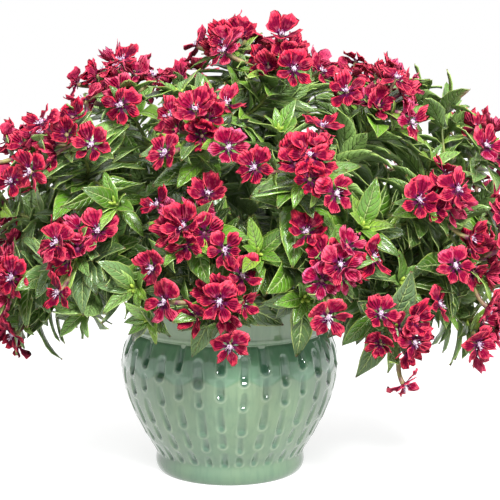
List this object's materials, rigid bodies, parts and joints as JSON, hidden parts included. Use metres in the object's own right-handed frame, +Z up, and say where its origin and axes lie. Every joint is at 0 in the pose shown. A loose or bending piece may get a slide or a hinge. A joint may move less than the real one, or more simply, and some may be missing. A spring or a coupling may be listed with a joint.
{
  "type": "potted flowering plant",
  "caption": "Bushy cuphea in full bloom: a broad mound of leafy stems and red six-petalled flowers in a round glazed pot with a collar.",
  "frame": {"origin": "centre of the pot's flat base, at floor level", "axes": "+Z up the pot's axis, the front seen in the picture faces -Y, +X to the right of the picture"},
  "size_m": [0.5126, 0.4179, 0.4154],
  "materials": {
    "glaze": "glossy pale celadon glaze",
    "soil": "matt, crumbly",
    "foliage": "soft satin green",
    "petals": "velvety deep red"
  },
  "bodies": {
    "root": {"pot": "glaze", "soil": "soil", "stem_01": "foliage", "stem_02": "foliage", "stem_03": "foliage", "stem_04": "foliage", "stem_05": "foliage", "stem_06": "foliage", "stem_07": "foliage", "stem_08": "foliage", "stem_09": "foliage", "stem_10": "foliage", "stem_11": "foliage", "stem_12": "foliage", "stem_13": "foliage", "stem_14": "foliage", "bloom_01": "petals", "bloom_02": "petals", "bloom_03": "petals", "bloom_04": "petals", "bloom_05": "petals", "bloom_06": "petals", "bloom_07": "petals", "bloom_08": "petals", "bloom_09": "petals", "bloom_10": "petals", "bloom_11": "petals", "bloom_12": "petals", "bloom_13": "petals", "bloom_14": "petals", "bloom_15": "petals", "bloom_16": "petals", "bloom_17": "petals", "bloom_18": "petals", "bloom_19": "petals", "bloom_20": "petals", "bloom_21": "petals", "bloom_22": "petals", "bloom_23": "petals", "bloom_24": "petals", "bloom_25": "petals", "bloom_26": "petals", "bloom_27": "petals", "bloom_28": "petals", "bloom_29": "petals", "bloom_30": "petals", "bloom_31": "petals", "bloom_32": "petals", "bloom_33": "petals", "bloom_34": "petals", "bloom_35": "petals", "bloom_36": "petals", "bloom_37": "petals", "bloom_38": "petals", "bloom_39": "petals", "bloom_40": "petals", "bloom_41": "petals", "bloom_42": "petals"}
  },
  "joints": []
}
